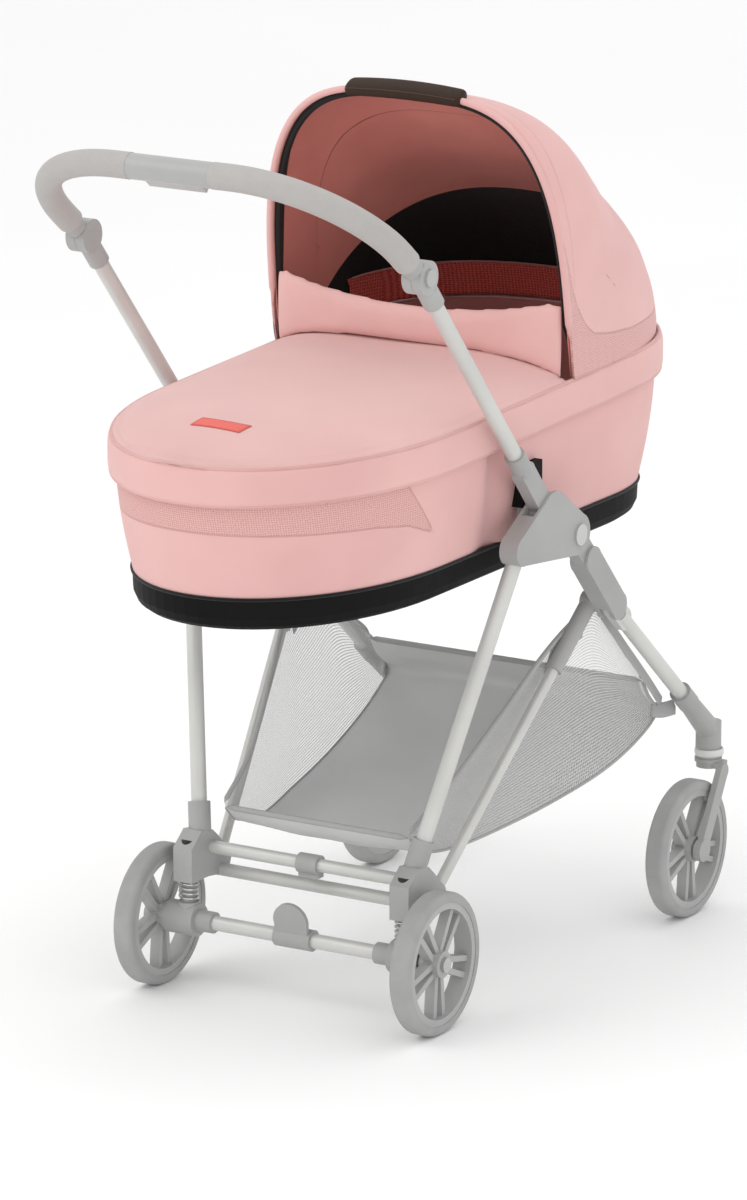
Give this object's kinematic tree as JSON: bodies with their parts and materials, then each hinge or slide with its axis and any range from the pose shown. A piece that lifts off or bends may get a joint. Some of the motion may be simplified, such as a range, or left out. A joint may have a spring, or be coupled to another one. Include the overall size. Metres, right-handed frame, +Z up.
{
  "type": "baby stroller",
  "caption": "Four-wheeled folding stroller with a lift-off carrycot, folding hood, adjustable push bar, sprung rear axle, swivel front wheels and a sling basket.",
  "frame": {"origin": "on the ground under the middle of the stroller's overall length, on its middle plane", "axes": "+X to the stroller's right-hand side as seen from the push bar, +Y forward from the push bar to the swivel wheels, +Z up"},
  "size_m": [0.494, 0.921, 1.0697],
  "materials": {
    "grey_plastic": "satin moulded",
    "silver_tube": "anodised satin",
    "steel": "bright",
    "grey_tyre": "matt",
    "grip_leather": "soft grain",
    "pink_fabric": "fine woven",
    "pink_knit": "knitted",
    "black_plastic": "satin moulded",
    "brown_leather": "grained",
    "basket_fabric": "woven with mesh sides"
  },
  "bodies": {
    "chassis": {"hub_housing_left": "grey_plastic", "hub_housing_right": "grey_plastic", "hub_caps": "silver_tube", "front_arm_left": "grey_plastic", "front_arm_right": "grey_plastic", "rear_leg_left": "silver_tube", "rear_leg_right": "silver_tube", "rear_foot_left": "grey_plastic", "rear_foot_right": "grey_plastic", "struts": "silver_tube", "strut_sleeves": "grey_plastic", "upper_crossbar": "silver_tube", "lower_crossbar": "silver_tube", "crossbar_clamp": "grey_plastic", "basket": "basket_fabric", "cot_adapters": "grey_plastic", "suspension_springs": "steel"},
    "rear_axle": {"axle_tube": "silver_tube", "axle_housing_left": "grey_plastic", "axle_housing_right": "grey_plastic", "axle_shaft": "steel"},
    "brake": {"brake_pedal": "grey_plastic"},
    "rear_wheel_left": {"rear_tyre_left": "grey_tyre", "rear_rim_left": "grey_plastic"},
    "rear_wheel_right": {"rear_tyre_right": "grey_tyre", "rear_rim_right": "grey_plastic"},
    "handle_frame": {"handle_root_left": "grey_plastic", "handle_root_right": "grey_plastic", "handle_tube_left": "silver_tube", "handle_tube_right": "silver_tube", "knuckle_lower_left": "grey_plastic", "knuckle_lower_right": "grey_plastic"},
    "handle_bar": {"push_bar": "silver_tube", "bar_grip": "grip_leather", "bar_sleeve": "grey_plastic", "knuckle_upper_left": "grey_plastic", "knuckle_upper_right": "grey_plastic"},
    "trigger": {"fold_trigger": "silver_tube"},
    "button_left": {"angle_button_left": "silver_tube"},
    "button_right": {"angle_button_right": "silver_tube"},
    "leg_left": {"front_leg_left": "silver_tube", "leg_housing_left": "grey_plastic"},
    "leg_right": {"front_leg_right": "silver_tube", "leg_housing_right": "grey_plastic"},
    "caster_left": {"caster_fork_left": "grey_plastic"},
    "caster_right": {"caster_fork_right": "grey_plastic"},
    "front_wheel_left": {"front_tyre_left": "grey_tyre", "front_rim_left": "grey_plastic"},
    "front_wheel_right": {"front_tyre_right": "grey_tyre", "front_rim_right": "grey_plastic"},
    "carrycot": {"cot_shell": "pink_fabric", "cot_tray": "black_plastic", "cot_docks": "black_plastic", "mattress": "pink_fabric", "apron": "pink_fabric", "wind_flap": "pink_fabric", "hood_rear": "pink_knit"},
    "hood_bow": {"hood_front": "pink_fabric", "hood_grip": "brown_leather"},
    "hood_middle": {"hood_mid": "pink_fabric"}
  },
  "joints": [
    {"name": "rear_suspension", "type": "slide", "parent": "chassis", "child": "rear_axle", "axis": [0, 0, 1], "range_m": [0, 0.016], "stiffness_N_per_m": 12000, "springref_m": -0.02, "deforming": ["suspension_springs"]},
    {"name": "brake_press", "type": "hinge", "parent": "rear_axle", "child": "brake", "pos_m": [0, -0.18748, 0.086], "axis": [1, 0, 0], "range_deg": [0, 25]},
    {"name": "rear_wheel_spin_left", "type": "hinge", "parent": "rear_axle", "child": "rear_wheel_left", "pos_m": [-0.191, -0.18748, 0.086], "axis": [1, 0, 0], "continuous": true},
    {"name": "rear_wheel_spin_right", "type": "hinge", "parent": "rear_axle", "child": "rear_wheel_right", "pos_m": [0.191, -0.18748, 0.086], "axis": [1, 0, 0], "continuous": true},
    {"name": "handle_fold", "type": "hinge", "parent": "chassis", "child": "handle_frame", "pos_m": [0.226, 0.00952, 0.588], "axis": [-1, 0, 0], "range_deg": [0, 130]},
    {"name": "bar_angle", "type": "hinge", "parent": "handle_frame", "child": "handle_bar", "pos_m": [0.226, -0.28348, 0.928], "axis": [1, 0, 0], "range_deg": [-60, 60]},
    {"name": "trigger_pull", "type": "slide", "parent": "handle_bar", "child": "trigger", "axis": [0, -0.788, 0.6157], "range_m": [0, 0.005], "stiffness_N_per_m": 600, "springref_m": -0.003},
    {"name": "button_press_left", "type": "slide", "parent": "handle_bar", "child": "button_left", "axis": [1, 0, 0], "range_m": [0, 0.003], "stiffness_N_per_m": 500, "springref_m": -0.002},
    {"name": "button_press_right", "type": "slide", "parent": "handle_bar", "child": "button_right", "axis": [-1, 0, 0], "range_m": [0, 0.003], "stiffness_N_per_m": 500, "springref_m": -0.002},
    {"name": "leg_fold_left", "type": "hinge", "parent": "chassis", "child": "leg_left", "pos_m": [-0.226, 0.16852, 0.444], "axis": [-1, 0, 0], "range_deg": [0, 50]},
    {"name": "caster_swivel_left", "type": "hinge", "parent": "leg_left", "child": "caster_left", "pos_m": [-0.221, 0.42852, 0.19], "axis": [0, 0, 1], "continuous": true},
    {"name": "front_wheel_spin_left", "type": "hinge", "parent": "caster_left", "child": "front_wheel_left", "pos_m": [-0.221, 0.37452, 0.086], "axis": [1, 0, 0], "continuous": true},
    {"name": "leg_fold_right", "type": "hinge", "parent": "chassis", "child": "leg_right", "pos_m": [0.226, 0.16852, 0.444], "axis": [-1, 0, 0], "range_deg": [0, 50]},
    {"name": "caster_swivel_right", "type": "hinge", "parent": "leg_right", "child": "caster_right", "pos_m": [0.221, 0.42852, 0.19], "axis": [0, 0, 1], "continuous": true},
    {"name": "front_wheel_spin_right", "type": "hinge", "parent": "caster_right", "child": "front_wheel_right", "pos_m": [0.221, 0.37452, 0.086], "axis": [1, 0, 0], "continuous": true},
    {"name": "carrycot_lift", "type": "slide", "parent": "chassis", "child": "carrycot", "axis": [0, 0, 1], "range_m": [0, 0.1]},
    {"name": "hood_fold", "type": "hinge", "parent": "carrycot", "child": "hood_bow", "pos_m": [0, 0.19752, 0.761], "axis": [-1, 0, 0], "range_deg": [0, 60]},
    {"name": "hood_middle_fold", "type": "hinge", "parent": "carrycot", "child": "hood_middle", "pos_m": [0, 0.19752, 0.761], "axis": [-1, 0, 0], "range_deg": [0, 30]}
  ],
  "couplings": [
    {"joint": "leg_fold_left", "follows": "handle_fold", "ratio": 0.384},
    {"joint": "leg_fold_right", "follows": "handle_fold", "ratio": 0.384},
    {"joint": "hood_middle_fold", "follows": "hood_fold", "ratio": 0.5}
  ]
}
